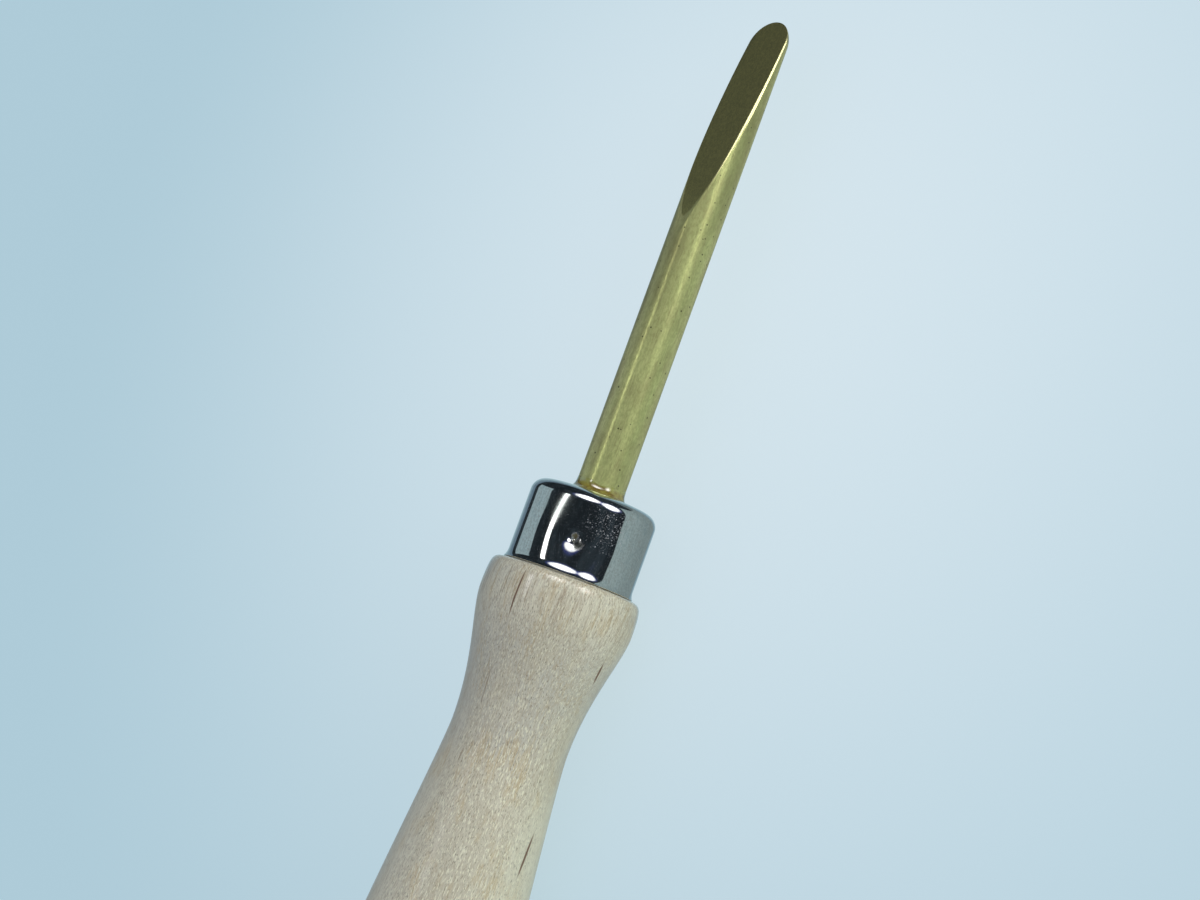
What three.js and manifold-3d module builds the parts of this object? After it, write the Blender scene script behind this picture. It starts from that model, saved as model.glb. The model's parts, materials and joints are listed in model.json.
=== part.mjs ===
// Pottery spatula: a brass rod, ground flat into a blade, in a turned wooden handle with a plated steel ferrule.
// Millimetres, +Z up. The tool lies on the shoulder and the belly of its handle, with its blade towards +X
// and the ground flat facing up. The origin is on the surface that it lies on, in the middle of its box.

import * as THREE from 'three';
import { mergeVertices } from 'three/addons/utils/BufferGeometryUtils.js';
import Module from 'manifold-3d';

const wasm = await Module();
wasm.setup();

// Fits: the gaps that are left between pieces which touch
const SEAT_GAP = 0.05; // round turned pieces and under their end faces
const STAKE_GAP = 0.25; // between the dent in the ferrule and the dent in the wood

// Blade: a brass rod with a ground flat
const ROD_RADIUS = 3;
const BLADE_REACH = 63.1; // from the ferrule's closed end to the tip
const TANG_DEPTH = 30; // from the ferrule's closed end down into the handle
const TANG_CHAMFER = 0.8;
const NOSE_LENGTH = 3.35; // of the half ellipsoid that rounds the tip
const FLAT_LENGTH = 27.7; // from the tip back to where the ground plane would meet the top of the rod
const TIP_THICKNESS = 1.83; // from the underside of the rod up to the ground plane, at the tip
const HEEL_RADIUS = 50; // of the easing between the round of the rod and the ground plane

// Adhesive
const GLUE_THICKNESS = 0.3; // round the tang
const GLUE_POOL = 1; // under the end of the tang
const FILLET_RISE = 1.4; // up the rod
const FILLET_SPREAD = 0.85; // over the ferrule's end, beyond its hole
const FILLET_EDGE = 0.15; // thickness at the outer edge
const DRILL_POINT_ANGLE = 118; // degrees, of the drill that bored the handle

// Ferrule: a drawn cup, with its mouth on the shoulder of the handle
const FERRULE_RADIUS = 7.85;
const FERRULE_HEIGHT = 10.4;
const FERRULE_WALL = 0.5;
const FERRULE_CORNER = 1.65; // outside radius where the side turns into the closed end
const MOUTH_FLARE = 0.28; // how far the mouth is belled out
const MOUTH_FLARE_HEIGHT = 1;

// Stake: one centre-punch mark that pins the ferrule to the tenon
const STAKE_FROM_END = 6.1; // from the ferrule's closed end
const STAKE_ANGLE = 36.4; // degrees from the direction that the ground flat faces, towards -Y
const STAKE_PIT_RADIUS = 0.65;
const STAKE_PIT_DEPTH = 0.55; // below the dish
const STAKE_TIP_RADIUS = 0.3;
const STAKE_DISH_RADIUS = 3.2;
const STAKE_DISH_DEPTH = 0.22; // of the shallow dish round the pit
const STAKE_DISH_CURVE = 22; // the radius that the dish is hollowed to
const STAKE_FLANK_ANGLE = 45; // degrees, between the punch's axis and the flank of its point
const STAKE_SIDES = 20;

// Handle: stations are measured from the shoulder face towards the butt
const SHOULDER_PROUD = 1.43; // how far the shoulder stands out past the mouth of the ferrule
const SHOULDER_STATION = 4;
const SHOULDER_EDGE_RISE = 1.22; // shape of the rounded edge: how far it runs out along the shoulder face,
const SHOULDER_EDGE_EASE = 3.4; // and then how gently it reaches the full shoulder
const SHOULDER_EASE = 3.1; // lengths that pull the outline along at the shoulder, the neck and the belly
const NECK_RADIUS = 7.18;
const NECK_STATION = 19.9;
const NECK_EASE_FRONT = 7.5;
const NECK_EASE_BACK = 4.6;
const BELLY_RADIUS = 10.7;
const BELLY_STATION = 67.4;
const BELLY_EASE_FRONT = 15.9;
const BELLY_EASE_BACK = 14;
const HANDLE_LENGTH = 97.4; // from the shoulder face to the butt
const BUTT_FLAT_RADIUS = 2.6; // left where the handle was parted from its blank
const BUTT_ROUND = 6.6; // how far the rounding of the butt reaches out from that flat

// Turning: every turned piece has a facet facing straight up and one straight down
const SIDES = 32;
const FLATS_UP = Math.PI / SIDES;

const tenonRadius = FERRULE_RADIUS - FERRULE_WALL - SEAT_GAP;
const tenonLength = FERRULE_HEIGHT - FERRULE_WALL - SEAT_GAP;
const insideCorner = Math.max(FERRULE_CORNER - FERRULE_WALL, SEAT_GAP);
const tenonChamfer = insideCorner; // as long as the rounded corner of the ferrule is wide, so it clears it
const glueOuterRadius = ROD_RADIUS + SEAT_GAP + GLUE_THICKNESS;
const boreRadius = glueOuterRadius + SEAT_GAP;
const drillPoint = (radius) => radius / Math.tan(THREE.MathUtils.degToRad(DRILL_POINT_ANGLE / 2));

// Positions along the tool: the shoulder face and the ferrule's mouth are at 0, the tip is ahead, the butt behind
const ferruleEnd = FERRULE_HEIGHT;
const tangEnd = ferruleEnd - TANG_DEPTH;
const tip = ferruleEnd + BLADE_REACH;
const boreEnd = tangEnd - GLUE_POOL - 2 * SEAT_GAP;
const stake = ferruleEnd - STAKE_FROM_END;

const at = (radius, along) => new THREE.Vector2(radius, along);
const curve = (steps, ...points) => new THREE.CubicBezierCurve(...points).getPoints(steps);

// A body of revolution about the X axis. Its outline starts and ends on the axis.
function turned(outline) {
  return new THREE.LatheGeometry(outline, SIDES, FLATS_UP).rotateZ(-Math.PI / 2);
}

// A solid for joining and cutting, from any closed geometry
function solid(geometry) {
  const bare = geometry.clone();
  bare.deleteAttribute('normal');
  bare.deleteAttribute('uv');
  const merged = mergeVertices(bare);
  const corners = merged.index.array;
  const triangles = [];
  for (let i = 0; i < corners.length; i += 3) {
    const [a, b, c] = corners.slice(i, i + 3);
    if (a !== b && b !== c && c !== a) triangles.push(a, b, c);
  }
  return new wasm.Manifold(new wasm.Mesh({
    numProp: 3,
    vertProperties: merged.attributes.position.array,
    triVerts: new Uint32Array(triangles),
  }));
}

function geometryOf(cut) {
  const mesh = cut.getMesh();
  const geometry = new THREE.BufferGeometry();
  geometry.setAttribute('position', new THREE.BufferAttribute(mesh.vertProperties, 3));
  geometry.setIndex(new THREE.BufferAttribute(mesh.triVerts, 1));
  geometry.computeVertexNormals();
  return geometry;
}

// The body of metal that the flat is ground out of: everything above the ground plane, with an eased heel
function groundAway() {
  const slope = Math.atan((2 * ROD_RADIUS - TIP_THICKNESS) / FLAT_LENGTH);
  const heel = tip - FLAT_LENGTH;
  const easing = HEEL_RADIUS * Math.tan(slope / 2);
  const beyond = tip + ROD_RADIUS;
  const clear = 2 * ROD_RADIUS;
  const side = new THREE.Shape();
  side.moveTo(heel - easing, clear);
  side.lineTo(heel - easing, ROD_RADIUS);
  side.absarc(heel - easing, ROD_RADIUS - HEEL_RADIUS, HEEL_RADIUS, Math.PI / 2, Math.PI / 2 - slope, true);
  side.lineTo(beyond, ROD_RADIUS - (beyond - heel) * Math.tan(slope));
  side.lineTo(beyond, clear);
  side.closePath();
  const width = 3 * ROD_RADIUS;
  const block = new THREE.ExtrudeGeometry(side, { depth: width, bevelEnabled: false, curveSegments: 6 });
  return block.rotateX(Math.PI / 2).translate(0, width / 2, 0);
}

function bladeGeometry() {
  const nose = [];
  const noseSteps = 9;
  for (let i = 0; i <= noseSteps; i++) {
    const turn = (i / noseSteps) * (Math.PI / 2);
    nose.push(at(ROD_RADIUS * Math.cos(turn), tip - NOSE_LENGTH * (1 - Math.sin(turn))));
  }
  nose[noseSteps].x = 0;
  const rod = turned([
    at(0, tangEnd),
    at(ROD_RADIUS - TANG_CHAMFER, tangEnd),
    at(ROD_RADIUS, tangEnd + TANG_CHAMFER),
    ...nose,
  ]);
  return geometryOf(solid(rod).subtract(solid(groundAway())));
}

// The ferrule's outside, and the same line again one wall further in for its inside
function cupOutline(inset) {
  const radius = FERRULE_RADIUS - inset;
  const end = FERRULE_HEIGHT - inset;
  const corner = Math.max(FERRULE_CORNER - inset, SEAT_GAP);
  const flare = new THREE.QuadraticBezierCurve(
    at(radius + MOUTH_FLARE, 0),
    at(radius, MOUTH_FLARE_HEIGHT / 2),
    at(radius, MOUTH_FLARE_HEIGHT),
  );
  const round = new THREE.Path().absarc(radius - corner, end - corner, corner, 0, Math.PI / 2, false);
  return [...flare.getPoints(5), ...round.getPoints(4), at(0, end)];
}

// The cup as a filled body. Below is how far it carries on past the mouth, for a clean cut.
function filledCup(inset, below) {
  const outline = cupOutline(inset);
  return solid(turned([at(0, -below), at(outline[0].x, -below), ...outline]));
}

// The shape that the punch leaves: a round-tipped pit in the middle of a shallow dish. It stands on the
// tool's axis at the stake and points inwards. Inset moves it down through the wall, and grow widens it.
function punch(inset, grow) {
  const surface = FERRULE_RADIUS - inset;
  const dish = surface - STAKE_DISH_DEPTH;
  const pitRadius = STAKE_PIT_RADIUS + grow;
  const tipRadius = STAKE_TIP_RADIUS + grow;
  const dishRadius = STAKE_DISH_RADIUS + grow;
  const hollow = (radius) => dish + radius ** 2 / (2 * STAKE_DISH_CURVE);
  const bottom = dish - STAKE_PIT_DEPTH;
  const flank = Math.PI / 2 - THREE.MathUtils.degToRad(STAKE_FLANK_ANGLE);
  const outline = [];
  const tipSteps = 3;
  for (let i = 0; i <= tipSteps; i++) {
    const turn = (i / tipSteps) * flank;
    outline.push(at(tipRadius * Math.sin(turn), bottom + tipRadius * (1 - Math.cos(turn))));
  }
  outline.push(at(pitRadius, hollow(pitRadius)));
  outline.push(at((pitRadius + dishRadius) / 2, hollow((pitRadius + dishRadius) / 2)));
  outline.push(at(dishRadius, hollow(dishRadius)));
  outline.push(at(dishRadius, surface + FERRULE_WALL), at(0, surface + FERRULE_WALL));
  const point = new THREE.LatheGeometry(outline, STAKE_SIDES);
  const turn = Math.PI / 2 + THREE.MathUtils.degToRad(STAKE_ANGLE);
  return solid(point.rotateX(turn).translate(stake, 0, 0));
}

function ferruleGeometry() {
  const hole = solid(turned([
    at(0, ferruleEnd - 2 * FERRULE_WALL),
    at(boreRadius, ferruleEnd - 2 * FERRULE_WALL),
    at(boreRadius, ferruleEnd + FERRULE_WALL),
    at(0, ferruleEnd + FERRULE_WALL),
  ]));
  const outside = filledCup(0, 0).subtract(punch(0, 0));
  const inside = filledCup(FERRULE_WALL, FERRULE_WALL).subtract(punch(FERRULE_WALL, FERRULE_WALL / 2));
  return geometryOf(outside.subtract(inside).subtract(hole));
}

function adhesiveGeometry() {
  const inner = ROD_RADIUS + SEAT_GAP;
  const foot = boreRadius + FILLET_SPREAD;
  const base = ferruleEnd + SEAT_GAP;
  const pool = tangEnd - SEAT_GAP;
  const floor = pool - GLUE_POOL;
  const fillet = new THREE.QuadraticBezierCurve(
    at(foot, base + FILLET_EDGE),
    at(inner, base + FILLET_EDGE),
    at(inner, base + FILLET_RISE),
  );
  return turned([
    at(0, floor - drillPoint(glueOuterRadius)),
    at(glueOuterRadius, floor),
    at(glueOuterRadius, base),
    at(foot, base),
    ...fillet.getPoints(8),
    at(inner, pool),
    at(0, pool),
  ]);
}

// The handle's outside, from the shoulder face back to the butt
function handleOutline() {
  const edge = FERRULE_RADIUS + MOUTH_FLARE;
  const shoulder = edge + SHOULDER_PROUD;
  return [
    ...curve(
      6,
      at(edge, -SEAT_GAP),
      at(edge + SHOULDER_EDGE_RISE, -SEAT_GAP),
      at(shoulder, SHOULDER_EDGE_EASE - SHOULDER_STATION),
      at(shoulder, -SHOULDER_STATION),
    ),
    ...curve(
      14,
      at(shoulder, -SHOULDER_STATION),
      at(shoulder, -SHOULDER_STATION - SHOULDER_EASE),
      at(NECK_RADIUS, -NECK_STATION + NECK_EASE_FRONT),
      at(NECK_RADIUS, -NECK_STATION),
    ).slice(1),
    ...curve(
      12,
      at(NECK_RADIUS, -NECK_STATION),
      at(NECK_RADIUS, -NECK_STATION - NECK_EASE_BACK),
      at(BELLY_RADIUS, -BELLY_STATION + BELLY_EASE_FRONT),
      at(BELLY_RADIUS, -BELLY_STATION),
    ).slice(1),
    ...curve(
      12,
      at(BELLY_RADIUS, -BELLY_STATION),
      at(BELLY_RADIUS, -BELLY_STATION - BELLY_EASE_BACK),
      at(BUTT_FLAT_RADIUS + BUTT_ROUND, -HANDLE_LENGTH),
      at(BUTT_FLAT_RADIUS, -HANDLE_LENGTH),
    ).slice(1),
  ];
}

function handleGeometry() {
  const outline = [
    at(0, boreEnd - drillPoint(boreRadius)),
    at(boreRadius, boreEnd),
    at(boreRadius, tenonLength),
    at(tenonRadius - tenonChamfer, tenonLength),
    at(tenonRadius, tenonLength - tenonChamfer),
    at(tenonRadius, -SEAT_GAP),
    ...handleOutline(),
    at(0, -HANDLE_LENGTH),
  ];
  const wood = solid(turned(outline.reverse()));
  return geometryOf(wood.subtract(punch(FERRULE_WALL + STAKE_GAP, FERRULE_WALL / 2 + STAKE_GAP)));
}

// The slope of the straight line over the fullest rings ahead of the neck and behind it. The tool lies on it.
function restingSlope() {
  const outline = handleOutline();
  const ahead = outline.filter((point) => point.y > -NECK_STATION);
  const behind = outline.filter((point) => point.y <= -NECK_STATION);
  const proudest = (points, slope) => points.reduce(
    (best, point) => (point.x + slope * point.y > best.x + slope * best.y ? point : best),
  );
  let slope = 0;
  for (let pass = 0; pass < 5; pass++) {
    const front = proudest(ahead, slope);
    const back = proudest(behind, slope);
    slope = (back.x - front.x) / (front.y - back.y);
  }
  return Math.atan(slope * Math.cos(FLATS_UP));
}

function piece(name, geometry, material) {
  const mesh = new THREE.Mesh(geometry, new THREE.MeshStandardMaterial(material));
  mesh.name = name;
  return mesh;
}

const tool = new THREE.Group();
tool.add(
  piece('handle', handleGeometry(), { color: 0xd0bea0, roughness: 0.45, metalness: 0 }),
  piece('ferrule', ferruleGeometry(), { color: 0xc8cdd0, roughness: 0.08, metalness: 1 }),
  piece('blade', bladeGeometry(), { color: 0xb0a758, roughness: 0.28, metalness: 1 }),
  piece('adhesive', adhesiveGeometry(), { color: 0x8a5a20, roughness: 0.1, metalness: 0 }),
);
tool.rotation.y = restingSlope();

const spatula = new THREE.Group();
spatula.add(tool);
spatula.updateMatrixWorld(true);
const box = new THREE.Box3().setFromObject(tool, true);
const middle = box.getCenter(new THREE.Vector3());
tool.position.set(-middle.x, -middle.y, -box.min.z);

export default spatula;
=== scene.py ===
# %% [markdown]
# # A pottery spatula, dressed for its picture
#
# The tool is a brass rod that is ground flat at one end, glued into a turned wooden handle and held there by
# a plated ferrule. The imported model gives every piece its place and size. This file keeps those places and
# builds the fine surface of each piece over them: smooth turned forms, a crisp ground flat, and the finishes.

# %% Load the fixed frame
import json
import math

import bmesh
import bpy
import numpy as np
from mathutils import Matrix, Vector


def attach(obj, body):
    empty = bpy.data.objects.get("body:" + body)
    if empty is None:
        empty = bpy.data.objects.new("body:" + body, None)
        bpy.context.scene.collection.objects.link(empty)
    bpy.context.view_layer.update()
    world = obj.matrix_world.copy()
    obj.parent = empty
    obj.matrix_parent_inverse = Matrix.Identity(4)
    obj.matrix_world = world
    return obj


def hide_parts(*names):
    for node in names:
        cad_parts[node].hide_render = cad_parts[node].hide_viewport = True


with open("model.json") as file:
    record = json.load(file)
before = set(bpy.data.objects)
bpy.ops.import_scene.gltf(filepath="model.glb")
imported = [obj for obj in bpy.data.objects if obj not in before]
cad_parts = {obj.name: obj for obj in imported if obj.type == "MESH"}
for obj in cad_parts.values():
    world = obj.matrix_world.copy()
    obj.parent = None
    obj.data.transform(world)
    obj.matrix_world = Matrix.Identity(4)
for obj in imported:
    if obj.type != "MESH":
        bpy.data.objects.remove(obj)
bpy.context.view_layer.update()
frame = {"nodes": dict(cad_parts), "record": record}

MM = 0.001

# %% [markdown]
# ## The tool's own axes
#
# The tool lies on the shoulder and the belly of its handle, so its long axis slopes a little. It is much
# easier to turn and grind a piece along a straight axis, so each piece here is made in the tool's own axes:
# X runs along the rod, Z is the way that the ground flat faces, and the zero is where the ferrule meets the
# wood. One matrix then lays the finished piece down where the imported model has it. The slope comes from the
# face of the butt, and the zero from the handle, which is as wide above its axis as below it.

# %% Lay the tool's axes over the frame
HANDLE_LENGTH = 97.4

butt_face = next(mount for mount in frame["record"]["mounts"] if mount["name"] == "butt_flat")
along = -Vector(butt_face["axis"]).normalized()
left = Vector((0, 1, 0))
up = along.cross(left)
turn = Matrix((along, left, up)).transposed()

corners = np.array([turn.transposed() @ vertex.co for vertex in frame["nodes"]["handle"].data.vertices])
low, high = corners.min(axis=0), corners.max(axis=0)
zero = Vector((low[0] + HANDLE_LENGTH * MM, (low[1] + high[1]) / 2, (low[2] + high[2]) / 2))
tool_place = Matrix.Translation(turn @ zero) @ turn.to_4x4()
print("shoulder face, in mm:", [round(v / MM, 3) for v in tool_place.translation])

# %% [markdown]
# ## The camera
#
# The picture was taken from about 26 cm above the tool. What it shows fixes the camera against the tool:
# how far the tool leans from upright in the picture, how far its tip tilts away, how far it is rolled about
# its own axis, and the place in the picture of one point on that axis. From those the camera's own place
# follows by matrices alone, with nothing set by eye.

# %% Set the camera
PICTURE_WIDTH = 1200
PICTURE_HEIGHT = 900
LENS = 66
FILM_WIDTH = 36
LEAN = math.radians(20.114)
TILT_AWAY = math.radians(6.2)
ROLL = math.radians(43.6)
FERRULE_END = 10.4
SEEN_STATION = FERRULE_END + 0.9
SEEN_PIXEL = (599.93, 490.28)
PIXELS_PER_MM = 8.352


def basis(first, towards):
    """Three square axes: the first, the nearest to the second, and the one across them both."""
    second = (towards - first * towards.dot(first)).normalized()
    return Matrix((first, second, first.cross(second))).transposed()


focus = PICTURE_WIDTH * LENS / FILM_WIDTH
distance = focus / PIXELS_PER_MM
axis_seen = Vector((
    math.cos(TILT_AWAY) * math.sin(LEAN),
    math.cos(TILT_AWAY) * math.cos(LEAN),
    -math.sin(TILT_AWAY),
))
seen = basis(axis_seen, Vector((0, 0, 1)))
facing = up * math.cos(ROLL) - left * math.sin(ROLL)
laid = basis(along, facing)
camera_turn = laid @ seen.transposed()

seen_point = Vector((
    (SEEN_PIXEL[0] - PICTURE_WIDTH / 2) / focus * distance,
    (PICTURE_HEIGHT / 2 - SEEN_PIXEL[1]) / focus * distance,
    -distance,
)) * MM
real_point = tool_place @ Vector((SEEN_STATION * MM, 0, 0))
eye = real_point - camera_turn @ seen_point

camera = bpy.data.objects.new("camera", bpy.data.cameras.new("camera"))
camera.data.lens = LENS
camera.data.sensor_width = FILM_WIDTH
camera.data.clip_start = 0.01
camera.matrix_world = Matrix.Translation(eye) @ camera_turn.to_4x4()
bpy.context.scene.collection.objects.link(camera)
bpy.context.scene.camera = camera
bpy.context.scene.view_settings.view_transform = "Standard"
print("camera at, in mm:", [round(v / MM, 1) for v in eye])

# %% [markdown]
# ## Shader maths in plain Python
#
# A finish is a web of nodes, and most of them are sums. `Wire` stands for one socket and carries Python's
# operators, so that a mask can be written as `1 - grain * 0.5` and the Math nodes appear by themselves.
# `Finish` is the web. Its `add` makes any other node: first its settings, then the values or wires of its
# sockets. The methods below it are short names for the nodes that come again and again.

# %% A small language for finishes
class Wire:
    """One value on its way through a web of nodes, with Python's own operators."""

    def __init__(self, finish, socket):
        self.finish = finish
        self.socket = socket

    def __add__(self, other):
        return self.finish.reckon("ADD", self, other)

    def __sub__(self, other):
        return self.finish.reckon("SUBTRACT", self, other)

    def __rsub__(self, other):
        return self.finish.reckon("SUBTRACT", other, self)

    def __mul__(self, other):
        return self.finish.reckon("MULTIPLY", self, other)

    def __truediv__(self, other):
        return self.finish.reckon("DIVIDE", self, other)

    def __rtruediv__(self, other):
        return self.finish.reckon("DIVIDE", other, self)

    def __pow__(self, other):
        return self.finish.reckon("POWER", self, other)

    def __rpow__(self, other):
        return self.finish.reckon("POWER", other, self)

    def __abs__(self):
        return self.finish.reckon("ABSOLUTE", self)

    __radd__ = __add__
    __rmul__ = __mul__


class Finish:
    """The nodes of one material, of a lamp or of the world."""

    def __init__(self, owner):
        owner.use_nodes = True
        self.tree = owner.node_tree
        self.tree.nodes.clear()

    def add(self, kind, settings=None, sockets=None, out=0):
        node = self.tree.nodes.new("ShaderNode" + kind)
        for name, value in (settings or {}).items():
            setattr(node, name, value)
        for name, value in (sockets or {}).items():
            if isinstance(value, Wire):
                self.tree.links.new(value.socket, node.inputs[name])
            else:
                node.inputs[name].default_value = value
        return Wire(self, node.outputs[out]) if node.outputs else None

    def reckon(self, operation, first, second=0):
        """A sum on numbers, also one that Python has no sign for."""
        return self.add("Math", {"operation": operation}, {0: first, 1: second})

    def measure(self, operation, first, second=(0, 0, 0)):
        """A number from vectors: a length, a distance, or how far one goes along the other."""
        return self.add("VectorMath", {"operation": operation}, {0: first, 1: second}, out="Value")

    def part(self, vector, axis):
        """The X, Y or Z of a vector."""
        return self.add("SeparateXYZ", {}, {0: vector}, out=axis)

    def ramp(self, value, low, high):
        """0 where the value is below low, 1 above high, and eased between. With high below low it falls."""
        settings = {"interpolation_type": "SMOOTHSTEP"}
        return self.add("MapRange", settings, {"Value": value, "From Min": low, "From Max": high})

    def mix(self, share, first, second, blend="MIX"):
        """A colour between two, or a layer of the second over the first."""
        settings = {"data_type": "RGBA", "blend_type": blend}
        return self.add("Mix", settings, {0: share, 6: first, 7: second}, out=2)

    def noise(self, place, scale, detail=2, roughness=0.5):
        """A soft random cloud between 0 and 1, with so many lumps to one unit of the place."""
        sockets = {"Vector": place, "Scale": scale, "Detail": detail, "Roughness": roughness}
        return self.add("TexNoise", {}, sockets)

    def stretched(self, place, x, y, z):
        """The same place, measured in lengths of x, y and z millimetres."""
        return self.add("VectorMath", {"operation": "DIVIDE"}, {0: place, 1: (x, y, z)})


def tone(red, green, blue):
    """A colour as a paint chart gives it, 0 to 255, in the values that light works with."""
    steps = [value / 255 for value in (red, green, blue)]
    light = [step / 12.92 if step <= 0.04045 else ((step + 0.055) / 1.055) ** 2.4 for step in steps]
    return (*light, 1)


def in_millimetres(finish):
    """The place on the piece in the tool's own axes, in millimetres."""
    place = finish.add("TexCoord", out="Object")
    return finish.add("Mapping", {"vector_type": "TEXTURE"}, {
        "Vector": place, "Location": tool_place.translation, "Rotation": turn.to_euler(), "Scale": (MM, MM, MM),
    })


print("a wire adds, subtracts, multiplies, divides and raises to a power")

# %% [markdown]
# ## The surface that the tool lies on
#
# The tool lies on a plain pale blue card that fades towards its edges. A card lit by lamps alone would need
# more light than the tool does, so most of its tone glows and the rest is plain matt colour that takes the
# tool's soft shadow. It glows a little less towards the tool than towards the camera, so that wood and glue
# keep their own tone. Mirror-like metal would pick up the card's far edge as well, so for mirrored rays the
# card is clear and the room behind it decides what they show.

# %% Lay the card
CARD_HALF = 1500 * MM
CARD_MIDDLE = (0.059, -0.007, 0)
CARD_FADE = 0.149
CARD_LIGHT = tone(220, 236, 242)
CARD_EDGE = tone(182, 211, 222)
CARD_GLOW = 0.8
CARD_GLOW_ON_TOOL = 0.6


def card_finish():
    material = bpy.data.materials.new("pale_blue_card")
    card = Finish(material)
    place = card.add("NewGeometry", out="Position")
    reach = card.measure("DISTANCE", place, CARD_MIDDLE)
    shown = card.mix(card.ramp(reach, 0, CARD_FADE), CARD_LIGHT, CARD_EDGE)
    camera_ray = card.add("LightPath", out="Is Camera Ray")
    glossy_ray = card.add("LightPath", out="Is Glossy Ray")
    clear_ray = card.add("LightPath", out="Is Transmission Ray")
    glow = card.add("Emission", {}, {"Color": shown})
    matt = card.add("BsdfDiffuse", {}, {"Color": shown})
    share = CARD_GLOW_ON_TOOL + (camera_ray + clear_ray) * (CARD_GLOW - CARD_GLOW_ON_TOOL)
    surface = card.add("MixShader", {}, {0: share, 1: matt, 2: glow})
    surface = card.add("MixShader", {}, {0: glossy_ray, 1: surface, 2: card.add("BsdfTransparent")})
    card.add("OutputMaterial", {}, {"Surface": surface})
    return material


def lay_card():
    mesh = bpy.data.meshes.new("card")
    half = CARD_HALF
    corners_of_card = [(-half, -half, 0), (half, -half, 0), (half, half, 0), (-half, half, 0)]
    mesh.from_pydata(corners_of_card, [], [(0, 1, 2, 3)])
    mesh.materials.append(card_finish())
    card = bpy.data.objects.new("card", mesh)
    bpy.context.scene.collection.objects.link(card)


lay_card()
print("card laid at height 0,", CARD_HALF * 2, "m wide")

# %% [markdown]
# ## The room and its lamps
#
# Two kinds of light do two jobs. Wood and glue show the light that falls on them, which is soft, a little
# blue from the left and brighter from the right. Polished metal shows the room instead: a dark room behind
# the camera, a grey board on each side, the pale card below, a thin strip lamp, and two soft lamps beyond the
# tip. So the world, brighter on the right, and one broad lamp light the matt surfaces, and what metal mirrors
# is set apart from them and adds no light to the rest. Directions are turned into two angles about the tool:
# how far round its axis from the way that faces the camera, and how far towards its tip. Each board is a span
# of both: from and to round the axis, lowest and highest towards the tip, and its tone.

# %% Build the room
ROOM_FILL = (0.49, 0.54, 0.67, 1)
WALL_FILL = (1.14, 1.08, 0.98, 1)
ROOM_SHOWN = tone(176, 205, 216)
ROOM_DARK = (0.013, 0.018, 0.022, 1)
ROOM_DIM = (0.026, 0.036, 0.044, 1)
CARD_FAR = (0.14, 0.21, 0.27, 1)
CARD_NEAR = (0.40, 0.57, 0.63, 1)
CARD_HORIZON = (-137, 150)
CARD_BRIGHTENS = (140, 178)
FILL_TURNS = (25, 90)
RIGHT_DARKENS = (70, 135)
RIGHT_DARKENING = 0.25
SOFT_EDGE = 1.2
BOARDS = {
    "left_board": (-125, -86, -75, 20, (0.305, 0.4, 0.43, 1)),
    "right_board": (60, 150, -75, 53, (0.295, 0.375, 0.378, 1)),
    "right_wall": (114, 150, 53, 90, (0.18, 0.24, 0.25, 1)),
}


def build_room():
    world = bpy.data.worlds.new("room")
    world.cycles.sampling_method = "NONE"
    bpy.context.scene.world = world
    room = Finish(world)
    ray = room.add("TexCoord", out="Generated")
    towards = room.measure("DOT_PRODUCT", ray, laid.col[1])
    rightwards = room.measure("DOT_PRODUCT", ray, laid.col[2])
    tipwards = room.measure("DOT_PRODUCT", ray, along)
    round_axis = room.reckon("ARCTAN2", rightwards, towards) * math.degrees(1)
    to_tip = room.reckon("ARCSINE", tipwards) * math.degrees(1)

    def span(angle, start, end):
        edge = SOFT_EDGE / 2
        return room.ramp(angle, start - edge, start + edge) * (1 - room.ramp(angle, end - edge, end + edge))

    card = room.mix(room.ramp(abs(round_axis), *CARD_BRIGHTENS), CARD_FAR, CARD_NEAR)
    dim = room.mix(room.ramp(room.noise(ray, 3, detail=2), 0.4, 0.65), ROOM_DARK, ROOM_DIM)
    mirrored = room.mix(1 - span(round_axis, *CARD_HORIZON), dim, card)
    for start, end, lowest, highest, colour in BOARDS.values():
        mirrored = room.mix(span(round_axis, start, end) * span(to_tip, lowest, highest), mirrored, colour)
    on_right = span(round_axis, *BOARDS["right_board"][:2])
    darkened = room.ramp(round_axis, *RIGHT_DARKENS) * on_right * RIGHT_DARKENING
    mirrored = room.mix(darkened, mirrored, ROOM_DARK)
    glossy_ray = room.add("LightPath", out="Is Glossy Ray")
    camera_ray = room.add("LightPath", out="Is Camera Ray")
    fill = room.mix(room.ramp(round_axis, *FILL_TURNS), ROOM_FILL, WALL_FILL)
    colour = room.mix(glossy_ray, fill, mirrored)
    colour = room.mix(camera_ray, colour, ROOM_SHOWN)
    light = room.add("Background", {}, {"Color": colour, "Strength": 1})
    room.add("OutputWorld", {}, {"Surface": light})


build_room()
print("room built, with", ", ".join(BOARDS))

# %% What the mirrored lamps look like
WINDOW_CORE = 0.74
WINDOW_PEAK = 4.1
WINDOW_RIM = (0.015, 0.02, 0.11, 1)
STRIP_SIDES = (0.5, 1)
STRIP_FOOT = (0, 0.4)
STRIP_HEAD = (0.8, 1)
LAMP_MIDDLE = (0.5, 0.5, 0)
WHITE = (1, 1, 1, 1)


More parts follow.
